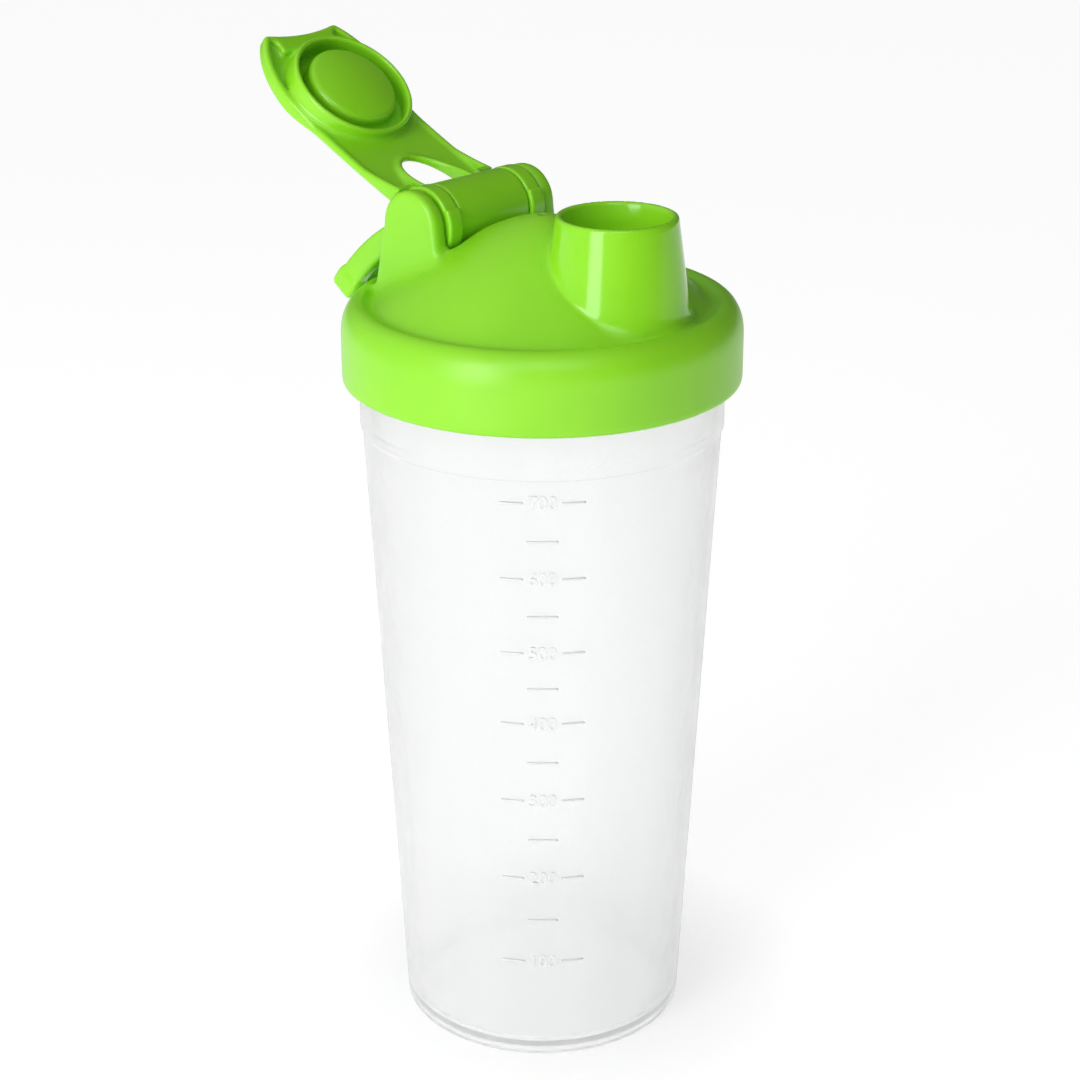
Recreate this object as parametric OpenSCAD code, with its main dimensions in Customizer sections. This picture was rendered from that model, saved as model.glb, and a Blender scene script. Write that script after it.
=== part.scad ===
// Protein shaker bottle: a tapered clear cup with a screw-on lid, a round
// drinking spout, a flip cap and a carry loop that turn on one hinge pin.
// Millimetres, +Z up. The origin is the centre of the cup's base.
// The spout is towards -Y, the hinge towards +Y, and the hinge line runs along X.

/* [Cup] */
// Height of the cup from its base to its rim
cup_height = 187; // [150:1:230]
// Outside radius of the cup at its base
base_r = 36.2; // [30:0.1:43.5]
// Outside radius of the straight neck that the lid screws on
neck_r = 44.9; // [44:0.1:56]
// Height of the straight neck
neck_height = 26; // [22:0.5:34]
// Small step outwards where the tapered wall meets the neck
neck_step = 0.6; // [0.2:0.1:1.5]
// Thickness of the cup's wall
cup_wall = 1.8; // [1.4:0.1:2.4]
// Thickness of the cup's floor
floor_t = 2.5; // [1.8:0.1:4]
// Radius of the inside corner between floor and wall
floor_fillet = 3.5; // [1.5:0.1:6]
// Radius of the outside corner of the base
foot_r = 1.4; // [0.6:0.1:3]

/* [Lid] */
// Thickness of the lid's outer wall
lid_wall = 2.6; // [1.8:0.1:3.6]
// Depth that the lid reaches down over the cup's rim
lid_skirt = 14.6; // [13:0.1:20]
// Height of the rounded shoulder
shoulder_h = 7.7; // [4:0.1:10]
// Width of the rounded shoulder
shoulder_w = 5.2; // [3:0.1:7]
// Height of the shoulder's crest above the valley around the dome
crest_h = 1.6; // [0.6:0.1:3]
// Height of the dome above the valley
dome_h = 21.9; // [16:0.1:30]
// Thickness of the dome and of the seat over the rim
shell_t = 2.1; // [1.6:0.1:3]
// Height of the plug skirt that reaches inside the cup's mouth
plug_skirt_h = 7; // [5:0.1:9]
// Thickness of the plug skirt
plug_skirt_t = 1.6; // [1.2:0.1:2.2]

/* [Thread] */
// Rise of the thread in one turn
thread_lead = 4.5; // [4:0.1:6]
// Height of the thread rib out of its wall
thread_depth = 1.2; // [0.8:0.05:1.6]
// Turns of thread on each part
thread_turns = 1.2; // [0.8:0.05:1.4]
// Radial gap between a rib and the wall that faces it
thread_gap = 0.3; // [0.2:0.05:0.6]

/* [Seal] */
// Thickness of the silicone ring between rim and lid
seal_t = 1.5; // [1:0.1:2.5]
// Width of the silicone ring
seal_w = 3.4; // [2.4:0.1:4]

/* [Strainer] */
// Depth of the mixing strainer's rim
strainer_h = 6; // [4:0.1:9]
// Thickness of the strainer's rings and bars
strainer_t = 1.6; // [1.2:0.1:2.4]
// Rings in the strainer's grid
strainer_rings = 5; // [3:1:6]
// Bars across the strainer's grid
strainer_bars = 6; // [3:1:8]

/* [Spout] */
// Distance of the spout's centre inside the lid's rim
spout_inset = 25.1; // [24.5:0.1:31]
// Outside radius of the spout at its mouth
spout_r = 14.4; // [11:0.1:17.5]
// Height of the spout's mouth above the valley
spout_h = 25.7; // [24:0.1:34]
// Outside taper: how much the spout's radius grows over its height
spout_flare = 3.6; // [1:0.1:5]
// Wall of the spout at its mouth
spout_wall = 2.1; // [1.6:0.1:3]
// Depth of the tapered seat inside the mouth
seat_depth = 4; // [3:0.1:6]

/* [Hinge] */
// Distance of the hinge line inside the lid's rim
hinge_inset = 24.8; // [22:0.1:29]
// Height of the hinge line above the valley
hinge_h = 18.2; // [17:0.1:24]
// Radius of the hinge pin
pin_r = 3; // [2:0.1:4]
// Running clearance between the pin and what turns on it
pin_gap = 0.06; // [0.03:0.01:0.09]
// Radius of the flip cap's hinge drum
drum_r = 9; // [7.5:0.1:10]
// Length of the flip cap's hinge drum
drum_len = 23.6; // [18:0.1:30]
// Radius of the carry loop's hinge collars
collar_r = 9.2; // [8:0.1:10]
// Length of each collar
collar_len = 4.5; // [3.5:0.1:6]
// Height of the stepped lobe on each collar
lobe_h = 0.7; // [0.4:0.1:1]
// Gap between neighbours along the hinge line
side_gap = 0.3; // [0.2:0.05:0.6]
// Thickness of each ear
ear_t = 4.6; // [3.6:0.1:6]
// Radius of each ear's round top
ear_r = 8.9; // [7.5:0.1:10]
// Depth of the pin's blind socket in the left ear
socket_depth = 2.8; // [2:0.1:3.2]

/* [Flip cap] */
// Angle of the open cap's arm above level, leaning back
open_angle = 40; // [25:1:80]
// Reach of the arm's tip beyond the spout's centre
tip_reach = 22.4; // [20:0.1:26]
// Height of the tray's top above the hinge line when the cap is closed
tray_top = 14; // [12:0.1:15]
// Thickness of the tray's plate
tray_t = 1.8; // [1.4:0.1:2.4]
// Depth of the tray's edge wall
tray_lip = 3.9; // [2.4:0.1:4]
// Thickness of the tray's edge wall
lip_t = 1.8; // [1.4:0.1:2.4]
// Wall of the seal ring that slips over the spout
ring_wall = 1.2; // [1:0.1:1.8]
// Overlap of the seal ring over the spout
ring_overlap = 2; // [1.5:0.1:4]
// Depth that the plug reaches into the spout
plug_in = 1.5; // [1:0.1:3.5]
// Crown of the plug's rounded face
plug_crown = 1.8; // [0.5:0.1:2.5]
// Clearance between cap and spout
cap_gap = 0.35; // [0.25:0.05:0.6]
// Width of each leg of the arm
leg_w = 9.2; // [7:0.1:10]
// Rise of the arm's back from the hinge to the tray
back_rise = 9.2; // [6:0.1:9.6]
// Length of the gap between the legs, from the hinge line
gap_len = 23; // [18:0.5:27]
// Width of the thumb block at the tip
thumb_w = 19.2; // [10:0.1:22]
// Length of the thumb block
thumb_len = 6.2; // [4:0.1:7]

/* [Carry loop] */
// Width of the strap, seen from the side
strap_w = 6.4; // [5:0.1:7]
// Radius of the strap's gentle arch
strap_arch_r = 60; // [50:1:80]
// Thickness of the cross bar at the strap's end
bar_t = 4.6; // [3.5:0.1:7]
// Distance from the hinge line to the outside of the cross bar
loop_reach = 38; // [34:0.5:46]
// Angle of the hanging loop below level, where it leaves the hinge
loop_angle = 18; // [17:0.5:30]

/* [Hidden] */
$fn = 96;
eps = 0.5;
fit_gap = 0.1;
round_gap = 0.6;
arc_steps = 8;
dome_power = 1.5;
dome_steps = 14;
outline_steps = 14;

// cup
neck_z = cup_height - neck_height;
neck_in_r = neck_r - cup_wall;
wall_top_r = neck_r - neck_step;
thread_root = 0.4;
thread_step = 6;
thread_base = 1.9;
thread_crest = 0.9;
thread_z = cup_height - lid_skirt + 3.8;
thread_play = 0.25;

// lid
lid_in_r = neck_r + thread_depth + thread_gap;
lid_r = lid_in_r + lid_wall;
lid_z = cup_height - lid_skirt;
seat_z = cup_height + seal_t + fit_gap;
valley_z = seat_z + shell_t;
crest_z = valley_z + crest_h;
crest_r = lid_r - shoulder_w;
valley_r = crest_r - 2.6;
dome_top = valley_z + dome_h;
plug_skirt_r = neck_in_r - 1.7;
plug_skirt_in = plug_skirt_r - plug_skirt_t;
plug_skirt_z = seat_z - plug_skirt_h;
rim_round = 0.8;

// spout
spout_y = lid_r - spout_inset;
spout_top = valley_z + spout_h;
mouth_r = spout_r - spout_wall + 0.6;
bore_r = spout_r - spout_wall;

// hinge
hinge_y = lid_r - hinge_inset;
hinge_z = valley_z + hinge_h;
collar_x = drum_len / 2 + side_gap;
ear_x = collar_x + collar_len + side_gap;
ear_out_x = ear_x + ear_t;
trough_r = max(collar_r + lobe_h, drum_r) + round_gap;
trough_wall = 1.9;
ear_flare = 4.4;
ear_drop = hinge_h - 1;

// flip cap, drawn closed in its own frame: s runs from the hinge line
// towards the tip, and up is away from the spout
ring_s = hinge_y + spout_y;
arm_len = ring_s + tip_reach;
ring_in_r = spout_r + cap_gap + ring_overlap * spout_flare / spout_h;
ring_out_r = ring_in_r + ring_wall;
plug_r = bore_r - cap_gap;
ring_rim_z = spout_top - ring_overlap - hinge_z;
plug_edge_z = spout_top - plug_in - hinge_z;
tray_half = ring_out_r + 2.2;
tray_s = ring_s + 4;
leg_start = trough_r;
leg_end = 36;
leg_half = ear_x - side_gap;
back_start = 12;
back_end = 50;
edge_end = 38;
min_lip = 0.4;
edge_low = 0.2;
tip_stretch = 24 / 18.4;
tip_hollow = 46;
hole_half = leg_half - leg_w;
ridge_t = 1.5;

// carry loop
strap_r = strap_arch_r;
strap_start = pin_r + 2.4;
strap_inset = 0.2;

function arc(c, r, a0, a1, n) = [for (i = [0:n]) c + r * [cos(a0 + (a1 - a0) * i / n), sin(a0 + (a1 - a0) * i / n)]];

function ellipse_arc(c, rx, ry, a0, a1, n) =
    [for (i = [0:n]) c + [rx * cos(a0 + (a1 - a0) * i / n), ry * sin(a0 + (a1 - a0) * i / n)]];

// Height of the dome's outside at radius r: flat at the centre, steeper outwards
function dome_z(r) = dome_top - dome_h * pow(r / valley_r, dome_power);

function dome_points(r0, r1, drop) =
    [for (i = [0:dome_steps]) let (r = r0 + (r1 - r0) * i / dome_steps) [r, dome_z(r) - drop]];

// Half width of the flip cap's arm at distance s from the hinge line
function arm_half(s) =
    s <= leg_end ? leg_half
    : s <= tray_s ? leg_half + (tray_half - leg_half) * (1 - cos(180 * (s - leg_end) / (tray_s - leg_end))) / 2
    : tray_half * sqrt(max(0, 1 - pow((s - tray_s) / (tray_half * tip_stretch), 2)));

// Height of the arm's back: it climbs from the hinge and levels out at the tray
function top_z(s) = tray_top - back_rise * pow(max(0, (back_end - s) / (back_end - back_start)), 1.22);

// Underside of the arm's edge: low at the hinge, rising to the tray's lip, and
// always a small lip below the plate
function edge_z(s) =
    let (low = tray_top - tray_lip,
         fall = (low - edge_low) * pow(max(0, (edge_end - s) / (edge_end - back_start)), 1.5))
    min(low - fall, top_z(s) - tray_t - min_lip);

module on_hinge() {
    translate([0, hinge_y, hinge_z]) children();
}

module along_x(r, x0, x1) {
    translate([x0, 0, 0]) rotate([0, 90, 0]) cylinder(r = r, h = x1 - x0);
}

// One rib of thread: a trapezium swept round the axis, rising by the lead.
// The rib grows out of radius r towards outwards (1) or inwards (-1),
// and both its ends sink into the wall.
module thread_rib(r, way, z) {
    steps = ceil(thread_turns * 360 / thread_step);
    section = [for (i = [0:steps])
        let (a = i * thread_step,
             fade = min(1, min(i, steps - i) / 5),
             out = r + way * thread_depth * fade - way * thread_root * (1 - fade),
             in = r - way * thread_root * 2,
             h = z + thread_lead * a / 360,
             p = [[in, -thread_base / 2], [out, -thread_crest / 2], [out, thread_crest / 2], [in, thread_base / 2]])
        for (q = (way > 0 ? p : [p[3], p[2], p[1], p[0]])) [q[0] * cos(a), q[0] * sin(a), h + q[1]]];
    sides = [for (i = [0:steps - 1]) for (j = [0:3])
        [4 * i + j, 4 * i + (j + 1) % 4, 4 * (i + 1) + (j + 1) % 4, 4 * (i + 1) + j]];
    ends = [[3, 2, 1, 0], [for (j = [0:3]) 4 * steps + j]];
    polyhedron(points = section, faces = concat(sides, ends), convexity = 8);
}

module cup() {
    color([0.93, 0.94, 0.94, 0.6]) {
        difference() {
            rotate_extrude() polygon(concat(
                [[0, 0]],
                arc([base_r - foot_r, foot_r], foot_r, -90, 0, arc_steps),
                [[wall_top_r, neck_z - neck_step], [neck_r, neck_z]],
                [[neck_r, cup_height - 0.5], [neck_r - 0.5, cup_height], [0, cup_height]]));
            cup_inside();
        }
        thread_rib(neck_r, 1, thread_z);
    }
}

module cup_inside() {
    inner_base = base_r - cup_wall;
    rotate_extrude() polygon(concat(
        [[0, floor_t]],
        arc([inner_base - floor_fillet, floor_t + floor_fillet], floor_fillet, -90, 0, arc_steps),
        [[neck_in_r - neck_step, neck_z - neck_step], [neck_in_r, neck_z + 4 * neck_step]],
        [[neck_in_r, cup_height - 0.5], [neck_in_r + 0.5, cup_height + eps], [0, cup_height + eps]]));
}

module lid_outside() {
    rotate_extrude() polygon(concat(
        [[0, lid_z], [lid_r - rim_round, lid_z], [lid_r, lid_z + rim_round]],
        ellipse_arc([crest_r, crest_z - shoulder_h], shoulder_w, shoulder_h, 0, 90, arc_steps),
        [[valley_r + 0.8, valley_z + 0.1]],
        [for (p = dome_points(valley_r, 0.01, 0)) p],
        [[0, dome_top]]));
}

module lid_inside() {
    rotate_extrude() polygon(concat(
        [[0, lid_z - eps], [lid_in_r, lid_z - eps], [lid_in_r, seat_z]],
        [[plug_skirt_r, seat_z], [plug_skirt_r, plug_skirt_z], [plug_skirt_in, plug_skirt_z]],
        [for (p = dome_points(plug_skirt_in, 0.01, shell_t * 1.15)) p],
        [[0, dome_top - shell_t * 1.15]]));
}

module spout_outside() {
    translate([0, -spout_y, valley_z - 0.4])
        cylinder(r1 = spout_r + spout_flare, r2 = spout_r, h = spout_h + 0.4);
}

module spout_inside() {
    translate([0, -spout_y, seat_z]) cylinder(r = bore_r, h = spout_h + shell_t + eps);
    translate([0, -spout_y, spout_top - seat_depth])
        cylinder(r1 = bore_r, r2 = mouth_r, h = seat_depth + 0.01);
}

// An upright post with a round top, wider at its foot
module ear(x) {
    translate([x, 0, 0]) rotate([90, 0, 90]) linear_extrude(ear_t) {
        circle(r = ear_r);
        polygon([[-ear_r, 0], [-ear_r - ear_flare * 0.6, -ear_drop], [ear_r + ear_flare, -ear_drop], [ear_r, 0]]);
    }
}

module lid() {
    color([0.55, 0.86, 0.2]) {
        difference() {
            union() {
                lid_outside();
                spout_outside();
                on_hinge() {
                    ear(ear_x);
                    ear(-ear_out_x);
                }
            }
            difference() {
                lid_inside();
                on_hinge() along_x(trough_r + trough_wall, -ear_x - trough_wall, ear_x + trough_wall);
            }
            on_hinge() along_x(trough_r, -ear_x, ear_x);
            on_hinge() along_x(pin_r, -ear_x - socket_depth, ear_out_x + eps);
            spout_inside();
        }
        thread_rib(lid_in_r, -1, thread_z - (thread_base + thread_crest) / 2 - thread_play);
    }
}

module lid_seal() {
    inner = plug_skirt_r + fit_gap;
    bottom = cup_height + fit_gap;
    top = seat_z - fit_gap / 2;
    color([0.86, 0.88, 0.86]) difference() {
        rotate_extrude() polygon([
            [inner, bottom], [inner + seal_w, bottom],
            [inner + seal_w, top], [inner, top]]);
        rotate_extrude() translate([inner + seal_w - 0.7, (bottom + top) / 2])
            polygon([[0, 0], [1, 0.35], [1, -0.35]]);
    }
}

// A ring that sits inside the plug skirt, with a grid of rings and bars across it
module strainer() {
    outer = plug_skirt_in - fit_gap;
    low = plug_skirt_z - 1;
    pitch = (outer - strainer_t) / (strainer_rings + 0.5);
    color([0.9, 0.92, 0.9]) {
        rotate_extrude() translate([outer - strainer_t, low]) square([strainer_t, strainer_h]);
        for (k = [1:strainer_rings])
            rotate_extrude() translate([pitch * k - strainer_t / 2, low]) square([strainer_t, strainer_t]);
        for (k = [0:strainer_bars - 1])
            rotate([0, 0, 180 * k / strainer_bars]) translate([-outer + strainer_t / 2, -strainer_t / 2, low])
                cube([2 * outer - strainer_t, strainer_t, strainer_t]);
    }
}

module hinge_pin() {
    color([0.5, 0.8, 0.2]) on_hinge() along_x(pin_r - fit_gap / 10, -ear_x - socket_depth + fit_gap, ear_out_x);
}

// Side view of the arm: along its back, then home along the lower edge
module arm_side() {
    n = 2 * outline_steps;
    from = leg_start - 3;
    top = [for (i = [0:n]) let (s = from + (back_end - from) * i / n) [s, top_z(s)]];
    edge = [for (i = [n:-1:0]) let (s = from + (edge_end + 4 - from) * i / n) [s, edge_z(s)]];
    polygon(concat(top, [[arm_len + eps, tray_top]], [[arm_len + eps, tray_top - tray_lip]], edge));
}

// Side view of the room under the arm's back, lowered by drop
module under_back(drop) {
    n = 2 * outline_steps;
    top = [for (i = [0:n]) [back_end * i / n, top_z(back_end * i / n) - drop]];
    polygon(concat([[0, -2 * drum_r]], top, [[arm_len + 1, tray_top - drop], [arm_len + 1, -2 * drum_r]]));
}

// Plan of the arm, inset by gap: narrow between the collars, then full width
module arm_plan(gap) {
    n = 2 * outline_steps;
    s0 = leg_start + gap;
    s1 = arm_len - gap;
    neck = drum_len / 2 - gap;
    pts = concat([[0, neck], [s0, neck]], [for (i = [0:n]) let (s = s0 + (s1 - s0) * i / n) [s, arm_half(s) - gap]]);
    difference() {
        polygon(concat(pts, [for (i = [len(pts) - 1:-1:0]) [pts[i][0], -pts[i][1]]]));
        translate([arm_len - gap - 1.3 + tip_hollow, 0]) circle(r = tip_hollow);
    }
}

// Plan of the gap between the two legs, with a round end towards the tray
module leg_gap(gap) {
    half = hole_half + gap;
    translate([0, -half]) square([leg_start, 2 * half]);
    translate([leg_start, 0]) scale([(gap_len + gap - leg_start) / half, 1]) circle(r = half);
}

// A side view carried across the whole width of the arm
module across_arm(half) {
    rotate([90, 0, 0]) translate([0, 0, -half]) linear_extrude(2 * half) children();
}

// A plan carried through the whole height of the arm
module through_arm() {
    translate([0, 0, -drum_r]) linear_extrude(drum_r + tray_top + 1) children();
}

module arm_shell() {
    across = max(tray_half, leg_half) + 1;
    difference() {
        intersection() {
            across_arm(across) arm_side();
            through_arm() difference() {
                arm_plan(0);
                leg_gap(0);
            }
        }
        intersection() {
            across_arm(across) under_back(tray_t);
            through_arm() difference() {
                arm_plan(lip_t);
                leg_gap(ridge_t);
                translate([arm_len - thumb_len, -thumb_w / 2]) square([2 * thumb_len, thumb_w]);
            }
        }
    }
}

// What slips over the spout: a ring round it and a plug into its mouth
module stopper() {
    intersection() {
        translate([0, -ring_s, 0]) {
            difference() {
                translate([0, 0, ring_rim_z]) cylinder(r = ring_out_r, h = tray_top - ring_rim_z);
                translate([0, 0, ring_rim_z - eps]) cylinder(r = ring_in_r, h = tray_top - ring_rim_z + 2 * eps);
            }
            plug();
        }
        rotate([0, 0, -90]) across_arm(ring_out_r + 1) under_back(tray_t - 0.2);
    }
}

module flip_cap() {
    color([0.6, 0.9, 0.25]) on_hinge() rotate([open_angle - 180, 0, 0]) {
        difference() {
            union() {
                along_x(drum_r, -drum_len / 2, drum_len / 2);
                difference() {
                    rotate([0, 0, -90]) arm_shell();
                    along_x(drum_r - 1, -drum_len, drum_len);
                }
            }
            along_x(pin_r + pin_gap, -drum_len, drum_len);
        }
        stopper();
    }
}

module plug() {
    crown_r = (plug_r * plug_r + plug_crown * plug_crown) / (2 * plug_crown);
    crown_a = asin(plug_r / crown_r);
    crown = arc([0, plug_edge_z - plug_crown + crown_r], crown_r, -90 + crown_a / 5, -90 + crown_a, 4);
    rotate_extrude() polygon(concat(
        [[0, tray_top], [0, crown[0][1]]], crown, [[plug_r, tray_top]]));
}

// A collar round the pin with a stepped lobe on its lower front
module collar(x) {
    along_x(collar_r, x, x + collar_len);
    translate([x, 0, 0]) rotate([90, 0, 90]) rotate_extrude(angle = 100, start = 150)
        translate([collar_r - 1, 0]) square([1 + lobe_h, collar_len]);
}

// Side view of the strap: an arched band from the collar to the cross bar.
// From and to are distances along the band.
module strap(from, to, x0, x1) {
    a0 = from / strap_r * 180 / PI;
    a1 = to / strap_r * 180 / PI;
    rotate([-loop_angle, 0, 0]) translate([0, 0, -strap_r]) translate([x0, 0, 0]) rotate([90, 0, 90])
        rotate_extrude(angle = a1 - a0, start = 90 - a1)
            translate([strap_r - strap_w / 2, 0]) square([strap_w, x1 - x0]);
}

module carry_loop() {
    reach = collar_x + collar_len;
    side = reach - strap_inset;
    color([0.6, 0.9, 0.25]) on_hinge() difference() {
        union() {
            collar(collar_x);
            collar(-reach);
            strap(strap_start, loop_reach, collar_x + strap_inset, side);
            strap(strap_start, loop_reach, -side, -collar_x - strap_inset);
            strap(loop_reach - bar_t, loop_reach, -side, side);
        }
        along_x(pin_r + pin_gap, -reach - 1, reach + 1);
    }
}

cup();
lid();
lid_seal();
strainer();
hinge_pin();
flip_cap();
carry_loop();
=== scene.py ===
import math

import bpy
import numpy as np
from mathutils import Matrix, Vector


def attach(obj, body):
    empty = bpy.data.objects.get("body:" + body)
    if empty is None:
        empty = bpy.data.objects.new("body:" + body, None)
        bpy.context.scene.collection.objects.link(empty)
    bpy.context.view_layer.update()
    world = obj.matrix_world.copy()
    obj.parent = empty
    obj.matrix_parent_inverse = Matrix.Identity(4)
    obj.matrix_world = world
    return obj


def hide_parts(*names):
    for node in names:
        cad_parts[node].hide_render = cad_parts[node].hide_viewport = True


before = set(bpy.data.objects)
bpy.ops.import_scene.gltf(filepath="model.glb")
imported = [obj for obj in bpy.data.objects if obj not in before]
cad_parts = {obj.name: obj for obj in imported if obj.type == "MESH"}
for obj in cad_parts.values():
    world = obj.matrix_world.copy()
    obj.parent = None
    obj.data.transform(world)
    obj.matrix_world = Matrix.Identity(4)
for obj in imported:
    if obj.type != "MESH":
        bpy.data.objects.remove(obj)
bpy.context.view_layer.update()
mm = 0.001  # sizes below are in millimetres, and meshes are made in metres
axisY, axisZ = 24.2, 208.9  # the hinge line runs along X through this point
print("frame loaded:", ", ".join(sorted(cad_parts)))


class Signal:
    # a value, colour or vector that runs between the nodes of one material
    def __init__(self, tree, socket=None):
        self.tree = tree
        self.socket = socket

    # any node: its settings go in first, then the values or links of its sockets
    def node(self, kind, settings=None, sockets=None, out=0):
        made = self.tree.nodes.new(kind)
        for key, value in (settings or {}).items():
            setattr(made, key, value)
        for key, value in (sockets or {}).items():
            if isinstance(value, Signal):
                self.tree.links.new(value.socket, made.inputs[key])
            else:
                made.inputs[key].default_value = value
        return Signal(self.tree, made.outputs[out] if made.outputs else None)

    def sum(self, operation, *values):
        return self.node("ShaderNodeMath", {"operation": operation}, dict(enumerate(values)))

    def __add__(self, other):
        return self.sum("ADD", self, other)

    def __sub__(self, other):
        return self.sum("SUBTRACT", self, other)

    def __mul__(self, other):
        return self.sum("MULTIPLY", self, other)

    __radd__ = __add__
    __rmul__ = __mul__

    # vector arithmetic between this and another vector
    def vector(self, operation, other, out=0):
        return self.node("ShaderNodeVectorMath", {"operation": operation}, {0: self, 1: other}, out)

    # 0 below low, 1 above high, and a straight climb between them
    def ramp(self, low, high):
        sockets = {"Value": self, "From Min": low, "From Max": high}
        return self.node("ShaderNodeMapRange", {"clamp": True}, sockets)

    # from one colour to the other as this value goes from 0 to 1
    def tint(self, first, second):
        settings = {"data_type": "RGBA"}
        return self.node("ShaderNodeMix", settings, {0: self, 6: first, 7: second}, 2)

    # cloudy noise over a vector, with spots about 1 / scale across
    def cloud(self, scale, detail=2.0, rough=0.5):
        sockets = {"Vector": self, "Scale": scale, "Detail": detail, "Roughness": rough}
        return self.node("ShaderNodeTexNoise", {}, sockets)


def newMaterial(name):
    material = bpy.data.materials.new(name)
    material.use_nodes = True
    material.node_tree.nodes.clear()
    return material, Signal(material.node_tree)


limeLook = {
    "colour": (0.24, 0.655, 0.014, 1),
    "paler": (0.275, 0.70, 0.019, 1),
    "roughness": 0.34,
    "roughnessChange": 0.10,
    "glow": 0.12,  # share of light that wanders inside the plastic
    "glowDepth": 0.003,
    "peel": 0.000016,  # height of the soft waves that moulding leaves
    "grain": 0.000005,
    "scratch": 0.000003,
}
capLook = dict(limeLook, roughness=0.22, peel=0.00001, grain=0.000003)
loopLook = dict(limeLook, roughness=0.24, peel=0.00001, grain=0.000003)
pinLook = dict(limeLook, roughness=0.25)


# Lime moulded plastic: the colour drifts between two near shades, waves and a
# fine grain lift the surface, and long thin scuffs change its roughness. A gate
# is the little sunk mark left where the plastic ran in, and polish makes a part
# within a radius of an upright line smooth and shiny
def mouldedPlastic(name, look, gate=None, polish=None):
    material, start = newMaterial(name)
    place = start.node("ShaderNodeTexCoord", out="Object")
    drift = place.cloud(38, 3)
    waves = place.cloud(420, 2)
    grain = place.cloud(2600, 2)
    sockets = {"Vector": place, "Scale": (1.0, 0.25, 3.0), "Rotation": (0.3, 0.5, 0.7)}
    stretched = place.node("ShaderNodeMapping", {}, sockets)
    scuffs = stretched.cloud(900, 4, 0.7).ramp(0.58, 0.72)
    colour = drift.ramp(0.3, 0.7).tint(look["colour"], look["paler"])
    roughness = look["roughness"] + look["roughnessChange"] * (drift - 0.5) + 0.07 * scuffs
    height = waves * look["peel"] + grain * look["grain"] + scuffs * -look["scratch"]
    if polish:
        away = place.vector("MULTIPLY", (1.0, 1.0, 0.0)).vector("DISTANCE", polish["place"], "Value")
        rougher = away.ramp(*polish["reach"])
        roughness = polish["roughness"] + (roughness - polish["roughness"]) * rougher
        height = height * (0.25 + 0.75 * rougher)
    if gate:
        fromGate = place.vector("DISTANCE", gate["place"], "Value")
        height = height + fromGate.ramp(0.3 * gate["radius"], gate["radius"]) * gate["depth"]
        colour = fromGate.ramp(0.2 * gate["radius"], gate["radius"]).tint(look["paler"], colour)
    bump = height.node("ShaderNodeBump", {}, {"Height": height, "Distance": 1.0, "Strength": 1.0})
    shader = start.node(
        "ShaderNodeBsdfPrincipled",
        {},
        {
            "Base Color": colour,
            "Roughness": roughness,
            "IOR": 1.49,
            "Subsurface Weight": look["glow"],
            "Subsurface Radius": (1.0, 1.0, 0.35),
            "Subsurface Scale": look["glowDepth"],
            "Normal": bump,
        },
    )
    start.node("ShaderNodeOutputMaterial", {}, {"Surface": shader})
    return material


frostLook = {
    "colour": (0.905, 0.91, 0.91, 1),
    "clearer": (0.93, 0.933, 0.933, 1),
    "roughness": 0.24,
    "roughnessChange": 0.10,
    "through": 0.88,  # share of light that passes through the wall
    "paintedGlow": 0.045,  # painted glow: the milky plastic gives off a little light in its own colour, standing in for light scattered inside it
    "peel": 0.00003,
    "grain": 0.000005,
}
markLook = dict(
    frostLook,
    colour=(0.76, 0.77, 0.77, 1),
    clearer=(0.80, 0.81, 0.81, 1),
    through=0.1,
    roughness=0.3,
)
strainerLook = dict(frostLook, through=0.45, roughness=0.4)
siliconeLook = dict(frostLook, colour=(0.80, 0.83, 0.82, 1), through=0.3, roughness=0.5)


# Milky see-through plastic: clear enough to show what is inside, with clouds in its tint and a soft,
# slightly uneven surface that blurs what shows through. It also glows faintly in its own colour, a
# painted glow in place of light scattered in the milky plastic
def frostedPlastic(name, look):
    material, start = newMaterial(name)
    place = start.node("ShaderNodeTexCoord", out="Object")
    upright = place.node("ShaderNodeMapping", {}, {"Vector": place, "Scale": (1.0, 1.0, 0.18)})
    flow = upright.cloud(55, 3)
    waves = place.cloud(300, 2)
    grain = place.cloud(2200, 2)
    colour = flow.ramp(0.3, 0.7).tint(look["colour"], look["clearer"])
    roughness = look["roughness"] + look["roughnessChange"] * (flow - 0.5)
    height = waves * look["peel"] + grain * look["grain"]
    bump = height.node("ShaderNodeBump", {}, {"Height": height, "Distance": 1.0, "Strength": 1.0})
    shader = start.node(
        "ShaderNodeBsdfPrincipled",
        {},
        {
            "Base Color": colour,
            "Roughness": roughness,
            "IOR": 1.36,
            "Transmission Weight": look["through"],
            # painted glow: the plastic gives off light in its own colour, though it is no lamp
            "Emission Color": colour,
            "Emission Strength": look["paintedGlow"],
            "Normal": bump,
        },
    )
    start.node("ShaderNodeOutputMaterial", {}, {"Surface": shader})
    return material


# Makes a mesh object at the origin from corner places in millimetres
def makePiece(name, corners, faces, material, body, slot, stands=()):
    mesh = bpy.data.meshes.new(name)
    mesh.from_pydata((corners * mm).tolist(), [], faces if isinstance(faces, list) else faces.tolist())
    mesh.validate()
    mesh.update()
    mesh.shade_smooth()
    mesh.materials.append(material)
    piece = bpy.data.objects.new(name, mesh)
    bpy.context.scene.collection.objects.link(piece)
    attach(piece, body)
    if stands:
        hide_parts(*stands)
    print(f"{name}: {len(mesh.polygons)} faces")
    return piece


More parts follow.
